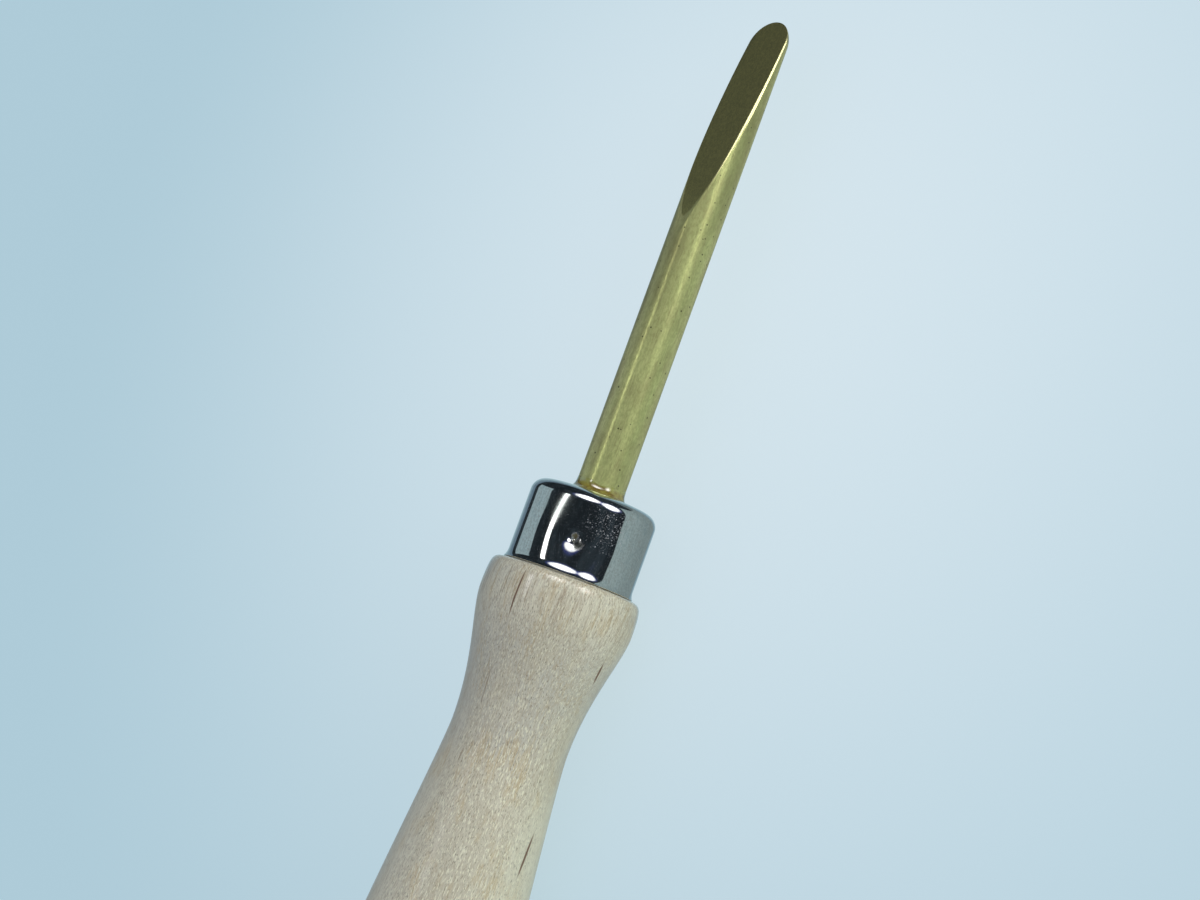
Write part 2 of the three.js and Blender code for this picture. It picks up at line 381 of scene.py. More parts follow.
def soft_window(light):
    """A round glow with a bright middle, and a wide faint rim of blue, as a plain lens gives it."""
    lamp = Finish(light)
    spot = lamp.add("NewGeometry", out="Parametric")
    reach = lamp.measure("DISTANCE", spot, LAMP_MIDDLE) * 2
    glow = lamp.mix(lamp.ramp(reach, WINDOW_CORE * 0.85, WINDOW_CORE * 1.1), WHITE, WINDOW_RIM)
    middle = 1 - lamp.ramp(reach, WINDOW_CORE * 0.3, WINDOW_CORE * 0.75)
    strength = (1 + middle * WINDOW_PEAK) * (1 - lamp.ramp(reach, WINDOW_CORE * 1.1, 1))
    emission = lamp.add("Emission", {}, {"Color": glow, "Strength": strength})
    lamp.add("OutputLight", {}, {"Surface": emission})


def soft_strip(light):
    """A long glow with soft sides, which fades over a long foot and a short head."""
    lamp = Finish(light)
    spot = lamp.add("NewGeometry", out="Parametric")
    across = abs(lamp.part(spot, "X") - 0.5) * 2
    upwards = lamp.part(spot, "Y")
    ends = lamp.ramp(upwards, *STRIP_FOOT) * (1 - lamp.ramp(upwards, *STRIP_HEAD))
    strength = (1 - lamp.ramp(across, *STRIP_SIDES)) * ends
    emission = lamp.add("Emission", {}, {"Color": WHITE, "Strength": strength})
    lamp.add("OutputLight", {}, {"Surface": emission})


print("a window's middle is", 1 + WINDOW_PEAK, "times as bright as its edge")

# %% Hang the lamps
LAMP_DISTANCE = 0.6


def hang_lamp(name, turned, raised, width, height, radiance, glow=None):
    """A flat lamp that faces the ferrule, at angles round the tool's axis and towards its tip.

    With a glow it shows only in mirrors. Without one it only lights matt surfaces.
    """
    turned, raised = math.radians(turned), math.radians(raised)
    around = laid.col[1] * math.cos(turned) + laid.col[2] * math.sin(turned)
    direction = around * math.cos(raised) + along * math.sin(raised)
    light = bpy.data.lights.new(name, "AREA")
    light.shape = "RECTANGLE"
    light.size = 2 * LAMP_DISTANCE * math.tan(math.radians(width / 2))
    light.size_y = 2 * LAMP_DISTANCE * math.tan(math.radians(height / 2))
    light.energy = radiance * math.pi * light.size * light.size_y
    lamp = bpy.data.objects.new(name, light)
    facing_back = basis(direction, along)
    lamp_turn = Matrix((-facing_back.col[2], facing_back.col[1], direction)).transposed()
    lamp.matrix_world = Matrix.Translation(real_point + direction * LAMP_DISTANCE) @ lamp_turn.to_4x4()
    lamp.visible_glossy = glow is not None
    lamp.visible_diffuse = glow is None
    lamp.visible_camera = False
    bpy.context.scene.collection.objects.link(lamp)
    if glow:
        glow(light)


hang_lamp("key", turned=34, raised=30, width=42, height=42, radiance=3.2)
hang_lamp("left_window", turned=-17, raised=37, width=56, height=48, radiance=1.3, glow=soft_window)
hang_lamp("right_window", turned=30.5, raised=31, width=44, height=50, radiance=1.3, glow=soft_window)
hang_lamp("strip", turned=-52, raised=5.5, width=10.5, height=31, radiance=4, glow=soft_strip)

# %% [markdown]
# ## Turning on the lathe
#
# Handle, ferrule and glue are turned forms. A lathe in mesh code is a list of radii along the axis, and a
# ring of points for each. A modifier could spin a curve, but then a dent could not be pressed into the wall
# before the faces are made. Angles are counted round the axis from the way that the ground flat faces,
# towards the camera's side.

# %% The lathe
RING_POINTS = 96

even_angles = [2 * math.pi * i / RING_POINTS for i in range(RING_POINTS)]


def on_round(station, radius, angle):
    """The point at a station along the axis, a radius away from it, and an angle round it."""
    return (station, -radius * math.sin(angle), radius * math.cos(angle))


def in_metres(point):
    """The same point for a mesh, which is measured in metres."""
    return tuple(value * MM for value in point)


def turned_rings(outline, angles, pressed):
    """Rings of points from (radius, station) pairs. Pressed says how deep a dent is at a place."""
    return [
        [in_metres(on_round(station, radius - pressed(radius, station, angle), angle)) for angle in angles]
        for radius, station in outline
    ]


def ring_mesh(name, rings, closed):
    """A mesh from rings of points, all with as many points. Closed joins the last ring to the first."""
    count = len(rings[0])
    faces = []
    for i in range(len(rings) if closed else len(rings) - 1):
        here = i * count
        there = (i + 1) % len(rings) * count
        for j in range(count):
            k = (j + 1) % count
            faces.append((here + j, here + k, there + k, there + j))
    mesh = bpy.data.meshes.new(name)
    mesh.from_pydata([point for ring in rings for point in ring], [], faces)
    return mesh


print("lathe ready, with", len(even_angles), "points to a ring")

# %% Seat a piece
WELD = 0.0004 * MM
SLIVER = 0.0001 * MM


def finish_piece(mesh, sharpest, node, material):
    """Closes the ends, turns the faces out, shades them smooth but for sharp edges, and seats the piece."""
    shape = bmesh.new()
    shape.from_mesh(mesh)
    shape.transform(tool_place)
    bmesh.ops.remove_doubles(shape, verts=shape.verts, dist=WELD)
    bmesh.ops.dissolve_degenerate(shape, edges=shape.edges, dist=SLIVER)
    bmesh.ops.recalc_face_normals(shape, faces=shape.faces)
    for face in shape.faces:
        face.smooth = True
    for edge in shape.edges:
        edge.smooth = edge.calc_face_angle(0) < math.radians(sharpest)
    open_edges = sum(not edge.is_manifold for edge in shape.edges)
    volume = shape.calc_volume() / MM ** 3
    shape.to_mesh(mesh)
    shape.free()
    mesh.materials.append(material)
    piece = bpy.data.objects.new(mesh.name, mesh)
    bpy.context.scene.collection.objects.link(piece)
    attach(piece, "root")
    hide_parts(node)
    print(f"{mesh.name}: {len(mesh.polygons)} faces, {volume:.1f} mm3, {open_edges} open edges")


print("points nearer than", WELD / MM, "mm are welded into one")

# %% Curves to turn along
def bezier(start, first, second, end, steps):
    """Points along a curve that leaves start towards first and reaches end from second."""
    points = []
    for i in range(steps + 1):
        t = i / steps
        weights = ((1 - t) ** 3, 3 * t * (1 - t) ** 2, 3 * t * t * (1 - t), t ** 3)
        pulls = list(zip(weights, (start, first, second, end)))
        points.append(tuple(sum(weight * pull[k] for weight, pull in pulls) for k in (0, 1)))
    return points


def arc(middle, radius, start, end, steps):
    """Points on a circle round (radius, station) of its middle, from angle to angle in degrees."""
    turns = [math.radians(start + (end - start) * i / steps) for i in range(steps + 1)]
    return [(middle[0] + radius * math.cos(t), middle[1] + radius * math.sin(t)) for t in turns]


print("middle of a quarter turn:", [round(v, 3) for v in arc((0, 0), 1, 0, 90, 2)[1]])

# %% [markdown]
# ## The stake in the ferrule
#
# One blow of a centre punch pins the ferrule to the wood. It leaves a small pit with sides that ease out, and
# round it the wall sinks in a wide shallow dish, which bends every reflection that runs over it. The
# ferrule's outside, its inside and the wood below all follow the same dent, so one function gives its depth
# at any place.

# %% The dent
FERRULE_RADIUS = 7.85
FERRULE_WALL = 0.5
STAKE_STATION = FERRULE_END - 6.1
STAKE_ANGLE = math.radians(36.4)
PIT_DEPTH = 0.72
PIT_EASE = 0.54
PIT_BLUNT = 0.16
DISH_RADIUS = 5.4
DISH_DEPTH = 0.28
DISH_SHARE = 0.3
DENT_SPAN = 1


def dent(radius, station, angle):
    """How deep the stake has pressed the wall in at this place, in millimetres."""
    turned = (angle - STAKE_ANGLE + math.pi) % (2 * math.pi) - math.pi
    if abs(turned) > DENT_SPAN:
        return 0
    away = math.hypot(station - STAKE_STATION, FERRULE_RADIUS * turned)
    dish = max(0, 1 - (away / DISH_RADIUS) ** 2) ** 2
    pit = math.exp((PIT_BLUNT - math.hypot(away, PIT_BLUNT)) / PIT_EASE)
    return DISH_DEPTH * dish + PIT_DEPTH * pit * min(1, dish / DISH_SHARE)


print("deepest place of the dent:", round(dent(FERRULE_RADIUS, STAKE_STATION, STAKE_ANGLE), 2), "mm")

# %% [markdown]
# ## Chrome
#
# The ferrule is plated steel: a mirror with very little colour of its own. A used tool is never a clean
# mirror. A thin film hazes the plate in faint blue and rust, wipe marks run along it, and small specks lie
# thicker where it is worn. One smudge dulls its side, and the dent holds a near-black patch on its slope
# towards the mouth and a little dirt. Each of these is a mask, and the masks lay tone over tone and roughen
# the plate. A picture wrapped round the cup could show them too, but masks in the tool's own axes need no
# seam and stay sharp from near by.

# %% Where the ferrule is marked
MARK_INSET = 0.8


def side(across):
    """The way out from the axis, so many degrees round from the side that faces the camera."""
    return on_round(0, 1, ROLL + math.radians(across))


def on_wall(station, across):
    """A point of the ferrule's wall, at a station and so many degrees round from the camera's side."""
    return on_round(station, FERRULE_RADIUS, ROLL + math.radians(across))


def in_dent(along_axis, across):
    """A point of the dent's slope, so many mm along the axis and degrees round from the stake."""
    angle = STAKE_ANGLE + math.radians(across)
    return on_round(STAKE_STATION + along_axis, FERRULE_RADIUS - MARK_INSET, angle)


WORN_PATCH = on_wall(6.6, 19)
SMUDGE = on_wall(7.4, -26)
PIT_DIRT = in_dent(0.42, 0)
# A near-black patch on the dent's slope towards the mouth.
PIT_DARK_PATCH = in_dent(-0.62, 6)
print("dirt in the dent, in mm:", [round(v, 2) for v in PIT_DIRT])

# %% Finish for the ferrule
PLATE_DULL = (0.79, 0.81, 0.81, 1)
PLATE_CLEAN = (0.87, 0.88, 0.87, 1)
PLATE_WIPED = (0.65, 0.66, 0.65, 1)
FILM_BLUE = (0.30, 0.62, 0.80, 1)
FILM_RUST = (0.65, 0.48, 0.45, 1)
FILM_SHARE = 0.2
SMUDGE_TONE = (0.42, 0.50, 0.46, 1)
SMUDGE_SHARE = 0.6
SPECK_RUST = (0.60, 0.50, 0.42, 1)
SPECK_GREY = (0.5, 0.52, 0.5, 1)
DENT_DARK_TONE = (0.045, 0.05, 0.045, 1)
DIRT_TONE = (0.16, 0.14, 0.07, 1)


def specks(plate, place, worn, scale, least):
    """Small round marks, one to a cell and more of them where the plate is worn, and a hue for each cell."""
    cells = {"Vector": place, "Scale": scale}
    spots = plate.add("TexVoronoi", {"feature": "F1"}, cells)
    hue = plate.add("TexVoronoi", {"feature": "F1"}, cells, out="Color")
    chosen = plate.ramp(plate.part(hue, "X") + worn * 0.8, least, least + 0.45)
    return (1 - plate.ramp(spots, 0.1, 0.36)) * chosen, hue


def plated_steel():
    material = bpy.data.materials.new("plated_steel")
    plate = Finish(material)
    place = in_millimetres(plate)
    cloud = plate.noise(place, 0.35, detail=3)
    haze = plate.noise(place, 3.2, detail=3, roughness=0.65)
    wiped = plate.noise(plate.stretched(place, 1.6, 0.12, 0.12), 1, detail=2)

    def round_about(point, ragged, reach, heart):
        """1 nearer to a point than its heart, 0 beyond its reach, with a ragged edge."""
        return plate.ramp(plate.measure("DISTANCE", place, point) + ragged, reach, heart)

    worn = round_about(WORN_PATCH, plate.noise(place, 0.8, detail=2) * 2, 4.8, 1.8)
    smudge = round_about(SMUDGE, haze * 2, 4, 1.6)
    dirt = round_about(PIT_DIRT, haze * 0.9, 1.05, 0.7)
    dark_patch = round_about(PIT_DARK_PATCH, haze * 0.8, 1.3, 0.9)
    coarse, hue = specks(plate, place, worn, 3.3, 0.86)
    fine, _ = specks(plate, place, worn, 6.4, 0.66)
    speck = plate.reckon("MAXIMUM", coarse * 0.7, fine * 0.55)
    hazed = plate.ramp(haze, 0.45, 0.75)
    tint = plate.mix(cloud, PLATE_DULL, PLATE_CLEAN)
    tint = plate.mix(plate.ramp(haze * 0.6 + wiped * 0.4, 0.36, 0.64), tint, PLATE_WIPED)
    film = plate.mix(plate.ramp(plate.noise(place, 0.7, detail=2), 0.4, 0.6), FILM_BLUE, FILM_RUST)
    tint = plate.mix(hazed * FILM_SHARE, tint, film)
    tint = plate.mix(smudge * SMUDGE_SHARE, tint, SMUDGE_TONE)
    tint = plate.mix(speck, tint, plate.mix(hue, SPECK_RUST, SPECK_GREY))
    tint = plate.mix(dark_patch, tint, DENT_DARK_TONE)
    tint = plate.mix(dirt, tint, DIRT_TONE)
    metallic = (1 - speck * 0.6 - hazed * 0.022) * (1 - dirt * 0.8)
    roughness = 0.045 + cloud * 0.03 + speck * 0.3 + dirt * 0.3 + dark_patch * 0.35 + smudge * 0.11
    height = wiped * 0.2 + haze * 0.15
    bump = plate.add("Bump", {}, {"Strength": 0.25, "Distance": 0.004 * MM, "Height": height}, out="Normal")
    metal = plate.add("BsdfPrincipled", {}, {
        "Base Color": tint, "Metallic": metallic, "Roughness": roughness, "Normal": bump,
    })
    plate.add("OutputMaterial", {}, {"Surface": metal})
    return material


chrome = plated_steel()
print("chrome mixed from", len(chrome.node_tree.nodes), "nodes")

# %% [markdown]
# ## The ferrule
#
# It is a cup drawn from thin sheet: a straight side, a rounded corner into the closed end, a hole for the
# rod, and a mouth that flares a little where it was pressed over the shoulder. It could be a spun curve with
# a Solidify modifier, but the lip and the hole need their own rounded edges, so the outline goes all the way
# round the sheet, outside and in. Rings and points lie closer together where the dent is.

# %% Turn the ferrule
FERRULE_CORNER = 1.65
MOUTH_FLARE = 0.28
FLARE_HEIGHT = 1.25
FLARE_EASE = 2.5
LIP = 0.12
HOLE_RADIUS = 3.4


def close_to(middle, reach, fine, coarse, start, end):
    """Places from start to end that lie closer together near the middle."""
    places = [start]
    while places[-1] < end:
        away = abs(places[-1] - middle)
        step = fine if away < reach else coarse
        places.append(places[-1] + step)
    places[-1] = end
    return places


def mouth_flare(radius, steps):
    """The flare at the mouth, from its lip up to the straight side."""
    points = []
    for i in range(steps + 1):
        t = i / steps
        points.append((radius + MOUTH_FLARE * (1 - t) ** FLARE_EASE, LIP + (FLARE_HEIGHT - LIP) * t))
    return points


def ferrule_outline():
    """All the way round the sheet: up the outside, in at the hole, down the inside and round the lip."""
    inner = FERRULE_RADIUS - FERRULE_WALL
    inner_end = FERRULE_END - FERRULE_WALL
    corner = FERRULE_CORNER
    inner_corner = corner - FERRULE_WALL
    top = FERRULE_END - corner
    straight = close_to(STAKE_STATION, reach=1.7, fine=0.07, coarse=0.2, start=FLARE_HEIGHT, end=top)
    outside = mouth_flare(FERRULE_RADIUS, 14)[:-1]
    outside += [(FERRULE_RADIUS, station) for station in straight]
    outside += arc((FERRULE_RADIUS - corner, top), corner, 0, 90, 16)[1:]
    hole = arc((HOLE_RADIUS + LIP, FERRULE_END - LIP), LIP, 90, 180, 3)
    hole += arc((HOLE_RADIUS + LIP, inner_end + LIP), LIP, 180, 270, 3)
    inside = arc((inner - inner_corner, inner_end - inner_corner), inner_corner, 90, 0, 10)
    inside += [(inner, station) for station in reversed(straight[1:-1:2])]
    inside += list(reversed(mouth_flare(inner, 8)))
    lip_radius = FERRULE_RADIUS + MOUTH_FLARE - FERRULE_WALL / 2
    lip = arc((lip_radius, LIP), FERRULE_WALL / 2, 180, 360, 8)[1:-1]
    lip = [(radius, LIP * (1 + (station - LIP) / (FERRULE_WALL / 2))) for radius, station in lip]
    return outside + hole + inside + lip


def ferrule_angles():
    """Angles right round the cup, closest together by the stake."""
    reach, fine, coarse = (math.radians(degrees) for degrees in (12, 0.5, 2))
    start, end = STAKE_ANGLE - math.pi, STAKE_ANGLE + math.pi
    return close_to(STAKE_ANGLE, reach, fine, coarse, start, end)[:-1]


def pressed_wall(radius, station, angle):
    """The dent, on the side of the cup only."""
    on_side = radius > FERRULE_RADIUS - FERRULE_WALL - 0.1
    return dent(radius, station, angle) if on_side else 0


ferrule_rings = turned_rings(ferrule_outline(), ferrule_angles(), pressed_wall)
finish_piece(
    ring_mesh("ferrule_cup", ferrule_rings, closed=True),
    sharpest=40, node="ferrule", material=chrome,
)

# %% [markdown]
# ## Pale wood
#
# The handle is a close-grained pale hardwood under a thin satin lacquer. Its figure is a solid: fibres run
# along the handle and the lathe cuts through them, so they show as long flecks on the straight stretches and
# as short ones where the outline slopes. A solid texture in the tool's axes gives that by itself, which a
# flat picture wrapped round the handle would not. Soft year rings come first, then greyer patches along the
# neck, tan lines and fibres, an orange warmth that is strongest in the heart of the wood, and paler
# sapwood on one side. Flecks and pores show best on the side where the lathe cut straight across them.
# Resin streaks lie over it all, three dark ones and two faint.

# %% Tones of the wood
WOOD_LIGHT = tone(214, 205, 175)
WOOD_MIDDLE = tone(201, 192, 162)
WOOD_CREAM = tone(230, 224, 190)
WOOD_TAN = tone(172, 154, 124)
WOOD_ORANGE = tone(200, 170, 110)
WOOD_GREYER_PATCH = tone(179, 177, 161)
WOOD_PORE = tone(112, 100, 82)
HEART_SIDE = side(4)
SAPWOOD_SIDE = side(70)
SAPWOOD_FROM = (6, 7.4)
print("the heart's side faces", [round(v, 2) for v in HEART_SIDE])

# %% [markdown]
# ## Resin streaks
#
# A streak is a thin leaf of resin that stands on edge in the wood, so the turned surface shows it as a short
# dark line with pointed ends. It is measured in three directions from its middle: along its line, across it
# and into the wood, each in halves of its own size. Where the three together come to less than 1 there is
# resin. Painting the lines on would be quicker, but a leaf keeps its place and shape on a curved surface.

# %% A streak of resin
STREAK_TONE = tone(112, 78, 50)
STREAK_HALF_DEPTH = 1.2
# For each: station, degrees round, radius, length, slant in degrees, half its width, and how dark it is.
STREAKS = {
    "by_the_shoulder": (-3.8, -32, 9.5, 6.4, 2, 0.13, 0.95),
    "on_the_neck": (-9.5, 56.5, 8.85, 3.2, -8, 0.22, 0.95),
    "on_the_belly": (-31.9, 51, 8.05, 6, 9, 0.21, 0.95),
    "faint_on_the_neck": (-15, -38.5, 7.3, 5.4, 2, 0.11, 0.4),
    "faint_below_it": (-23.5, -39, 7.5, 2.4, 4, 0.1, 0.4),
}


def streak_mask(wood, place, station, turned, radius, length, slant, half_width):
    """1 inside a long thin leaf of resin, with its middle on the surface, and 0 outside it."""
    outwards = Vector(on_round(0, 1, turned))
    round_axis = Vector(on_round(0, 1, turned + math.pi / 2))
    lengthways = Vector((math.cos(slant), 0, 0)) + round_axis * math.sin(slant)
    across = outwards.cross(lengthways)
    middle = Vector((station, 0, 0)) + outwards * radius
    away = wood.add("VectorMath", {"operation": "SUBTRACT"}, {0: place, 1: middle})
    scaled = wood.add("CombineXYZ", {}, {
        0: wood.measure("DOT_PRODUCT", away, lengthways / (length / 2)),
        1: wood.measure("DOT_PRODUCT", away, across / half_width),
        2: wood.measure("DOT_PRODUCT", away, outwards / STREAK_HALF_DEPTH),
    })
    return 1 - wood.ramp(wood.measure("LENGTH", scaled), 0.6, 1.15)


print("streaks to lay:", ", ".join(STREAKS))

# %% The figure of the wood
def figure(wood, place):
    """The colour of the wood without its streaks, and the masks of its fibres and its pores."""
    x = wood.part(place, "X")
    to_heart = wood.measure("DOT_PRODUCT", place, HEART_SIDE)
    to_sapwood = wood.measure("DOT_PRODUCT", place, SAPWOOD_SIDE)
    near_shoulder = wood.ramp(x, -9, -3)
    sway = wood.noise(wood.stretched(place, 30, 9, 9), 1, detail=1)
    sideways = wood.add("CombineXYZ", {}, {1: sway * 2})
    bent = wood.add("VectorMath", {"operation": "ADD"}, {0: place, 1: sideways})
    rings = wood.noise(wood.stretched(bent, 70, 2.6, 2.6), 1, detail=3, roughness=0.55)
    lines = wood.noise(wood.stretched(bent, 7, 0.2, 0.2), 1, detail=2, roughness=0.6)
    fibre = wood.noise(wood.stretched(bent, 0.9, 0.15, 0.15), 1, detail=3, roughness=0.65)
    fleck = wood.noise(wood.stretched(bent, 0.75, 0.15, 0.15), 1, detail=1)
    pored = wood.ramp(wood.noise(wood.stretched(bent, 0.4, 0.1, 0.1), 1, detail=1), 0.58, 0.7)
    patches = wood.noise(wood.stretched(bent, 5, 2, 2), 1, detail=2)

    colour = wood.mix(wood.ramp(rings, 0.36, 0.64), WOOD_MIDDLE, WOOD_LIGHT)
    # Greyer patches along the neck, between stations -26 and -4, where rings and patches run high.
    greyer_patches = wood.ramp(abs(x + 15), 11, 4) * wood.ramp(rings + patches, 0.7, 1.2)
    colour = wood.mix(greyer_patches * 0.6, colour, WOOD_GREYER_PATCH)
    colour = wood.mix(wood.ramp(lines, 0.5, 0.68) * (0.4 + near_shoulder * 0.45), colour, WOOD_TAN)
    colour = wood.mix(wood.ramp(fibre, 0.52, 0.38) * 0.5, colour, WOOD_TAN)
    heart = wood.ramp(to_heart, 4.5, 7.5) * wood.ramp(x, -15, -23)
    warmth = wood.ramp(patches + near_shoulder * 0.05 + heart * 0.04, 0.5, 0.68) * wood.ramp(lines, 0.36, 0.56)
    colour = wood.mix(warmth * (0.28 + heart * 0.12), colour, WOOD_ORANGE)
    sapwood = wood.ramp(to_sapwood, *SAPWOOD_FROM) * 0.28
    colour = wood.mix(wood.ramp(x, -21, -29) * (0.1 + sapwood), colour, WOOD_CREAM)
    colour = wood.mix(wood.ramp(lines, 0.46, 0.34) * near_shoulder * 0.4, colour, WOOD_CREAM)
    cut_across = 0.35 + wood.ramp(to_heart, 2.8, 5.6) * 0.65
    colour = wood.mix(wood.ramp(fleck, 0.54, 0.66) * cut_across * (0.6 + heart * 0.3), colour, WOOD_CREAM)
    colour = wood.mix(pored * cut_across * 0.55, colour, WOOD_PORE)
    return colour, fibre, pored


print("sapwood shows from", SAPWOOD_FROM[0], "mm out towards its side")

# %% [markdown]
# ## Lacquer
#
# A thin coat of satin lacquer lies over the wood, and it is worn from most of the handle. By the shoulder no
# hand reaches it, so it is whole there and draws a clear line of light. A little sheen stands for the fine
# raised fibres, which make the edges of the turned form paler, as raw wood has them.

# %% Finish for the handle
COAT_WORN = 0.2
COAT_BY_SHOULDER = 0.8


def pale_wood():
    material = bpy.data.materials.new("pale_wood")
    wood = Finish(material)
    place = in_millimetres(wood)
    colour, fibre, pored = figure(wood, place)
    for station, across, radius, length, slant, half_width, depth in STREAKS.values():
        turned = ROLL + math.radians(across)
        streak = streak_mask(wood, place, station, turned, radius, length, math.radians(slant), half_width)
        colour = wood.mix(streak * depth, colour, STREAK_TONE)
    whole_coat = wood.ramp(wood.part(place, "X"), -4.5, -1.5)
    height = fibre + (1 - pored) * 0.6
    bump = wood.add("Bump", {}, {"Strength": 0.4, "Distance": 0.03 * MM, "Height": height}, out="Normal")
    surface = wood.add("BsdfPrincipled", {}, {
        "Base Color": colour, "Roughness": 0.4 + fibre * 0.15, "Normal": bump,
        "Coat Weight": COAT_WORN + whole_coat * COAT_BY_SHOULDER, "Coat Roughness": 0.07,
        "Sheen Weight": 0.16, "Sheen Roughness": 0.35, "Sheen Tint": (0.8, 0.88, 1, 1),
    })
    wood.add("OutputMaterial", {}, {"Surface": surface})
    return material


wood_finish = pale_wood()
print("wood finish with", len(STREAKS), "resin streaks")

# %% [markdown]
# ## The handle
#
# A small turned handle: a proud rounded shoulder under the ferrule, a slim neck for the fingers, a full
# belly and a round butt. A tenon goes up into the ferrule, and a bore takes the rod. Four curves make the
# outside, with the same stations as the solid that it stands for.

# %% Turn the handle
SEAT_GAP = 0.05
SHOULDER = FERRULE_RADIUS + MOUTH_FLARE + 1.43
SHOULDER_AT = -4
NECK = 7.18
NECK_AT = -19.9
BELLY = 10.7
BELLY_AT = -67.4
BUTT_FLAT = 2.6
BORE_END = -20.7
DRILL_POINT = 0.6
TENON_STEP = 0.25
TENON_RINGS = 32
TENON_CLEARANCE = 0.22


def handle_outline():
    """From the bottom of the bore up to the tenon, over the shoulder and down the outside to the butt."""
    edge = FERRULE_RADIUS + MOUTH_FLARE
    tenon = FERRULE_RADIUS - FERRULE_WALL - SEAT_GAP
    tenon_end = FERRULE_END - FERRULE_WALL - SEAT_GAP
    chamfer = FERRULE_CORNER - FERRULE_WALL
    points = [(0, BORE_END - HOLE_RADIUS * DRILL_POINT), (HOLE_RADIUS, BORE_END), (HOLE_RADIUS, tenon_end)]
    points += [(tenon - chamfer, tenon_end), (tenon, tenon_end - chamfer)]
    points += [(tenon, tenon_end - chamfer - TENON_STEP * i) for i in range(1, TENON_RINGS)]
    points += [(tenon, -SEAT_GAP)]
    shoulder, neck = (SHOULDER, SHOULDER_AT), (NECK, NECK_AT)
    belly, butt = (BELLY, BELLY_AT), (BUTT_FLAT, -HANDLE_LENGTH)
    points += bezier((edge, -SEAT_GAP), (edge + 1.22, -SEAT_GAP), (SHOULDER, -0.6), shoulder, 22)
    points += bezier(shoulder, (SHOULDER, -7.1), (NECK, -12.4), neck, 26)[1:]
    points += bezier(neck, (NECK, -24.5), (BELLY, -51.5), belly, 40)[1:]
    points += bezier(belly, (BELLY, -81.4), (BUTT_FLAT + 6.6, -HANDLE_LENGTH), butt, 40)[1:]
    points += [(0, -HANDLE_LENGTH)]
    return points


def pressed_tenon(radius, station, angle):
    """The dent in the tenon, a little wider and deeper than the wall's, so that they stay clear."""
    on_tenon = station > 0 and radius > HOLE_RADIUS + 1
    near = dent(radius, station, angle)
    return near + TENON_CLEARANCE * min(1, near / 0.1) if on_tenon else 0


handle_rings = turned_rings(handle_outline(), even_angles, pressed_tenon)
finish_piece(
    ring_mesh("turned_handle", handle_rings, closed=False),
    sharpest=35, node="handle", material=wood_finish,
)

# %% [markdown]
# ## Brass
#
# The rod was drawn through a die, so faint lines run along it, and it has dulled to an olive yellow with a
# few small dark pits. Dulled brass is only partly a metal to the eye, because its skin scatters light as a
# paint does. Polished metal still shows through here and there, and a small share of it, mixed in as a
# second shader, draws the one crisp line of light on the rod's left. Away from the side that faces the camera
# the skin is painted paler and less green, a painted sheen that stands for the fill light on the rod's sides.
# Painted shade, in a tarnish colour, darkens the upper side of the stretch before the flat, and one side of
# the ground part.
#
# The ground flat has no dull skin. It mirrors the dark room, so it looks much darker than the rod although it
# is the same metal. The broken edge round it is rubbed bright and also painted lighter as a painted highlight.
# The flat is found by two distances: on the ground plane with its eased heel, and inside the rod's round skin.

# %% Where the rod is ground
ROD = 3
TIP = FERRULE_END + 63.1
FLAT_LENGTH = 27.7
TIP_THICKNESS = 1.83
HEEL = TIP - FLAT_LENGTH
FLAT_SLOPE = math.atan((2 * ROD - TIP_THICKNESS) / FLAT_LENGTH)
HEEL_RADIUS = 50
HEEL_START = HEEL - HEEL_RADIUS * math.tan(FLAT_SLOPE / 2)
HEEL_RUN = HEEL_RADIUS * math.sin(FLAT_SLOPE)


def ground_masks(brass, place):
    """1 on the ground flat, and 1 on the broken edge beside it, from the places of the plane and the skin."""
    x, y, z = (brass.part(place, axis) for axis in "XYZ")
    from_start = x - HEEL_START
    eased = brass.reckon("MAXIMUM", brass.reckon("MINIMUM", from_start, HEEL_RUN), 0)
    straight = brass.reckon("MAXIMUM", from_start - HEEL_RUN, 0)
    plane_height = ROD - eased * eased / (2 * HEEL_RADIUS) - straight * math.tan(FLAT_SLOPE)
    under_plane = plane_height - z
    under_skin = ROD - (y * y + z * z) ** 0.5
    on_plane = 1 - brass.ramp(under_plane, 0.012, 0.03)
    near_heel = 1 - brass.ramp(x, HEEL, HEEL + 6)
    inside = brass.ramp(under_skin - near_heel * 0.11, 0.015, 0.04)
    return on_plane * inside, (1 - on_plane) * inside


print("slope of the ground flat:", round(math.degrees(FLAT_SLOPE), 2), "degrees")

# %% Finish for the blade
BRASS_LIGHT = tone(198, 203, 132)
BRASS_OLIVE = tone(167, 172, 108)
BRASS_BROWN = tone(136, 124, 84)
# Painted light: this tint makes the skin paler on the sides away from the camera's side, as fill light.
BRASS_PAINTED_SIDE_SHEEN = (1.24, 1.13, 1.28, 1)
# Painted shade in a tarnish colour, where the rod mirrors the dark room.
BRASS_PAINTED_SHADE = tone(124, 120, 76)
BRASS_PIT = tone(62, 60, 34)
# Rubbed bare metal, and partly a painted highlight along the flat's broken edge.
BRASS_RUBBED_AND_HIGHLIGHT = tone(214, 207, 150)
BRASS_GROUND = tone(150, 146, 96)
BRASS_GROUND_LIGHT = tone(172, 166, 106)
BRASS_RIM = (0.3, 0.32, 0.36, 1)
UPPER_SIDE = side(5)
# The side along which painted shade lies beside the ground part.
PAINTED_SHADE_SIDE = side(48)
POLISHED_SHARE = 0.08


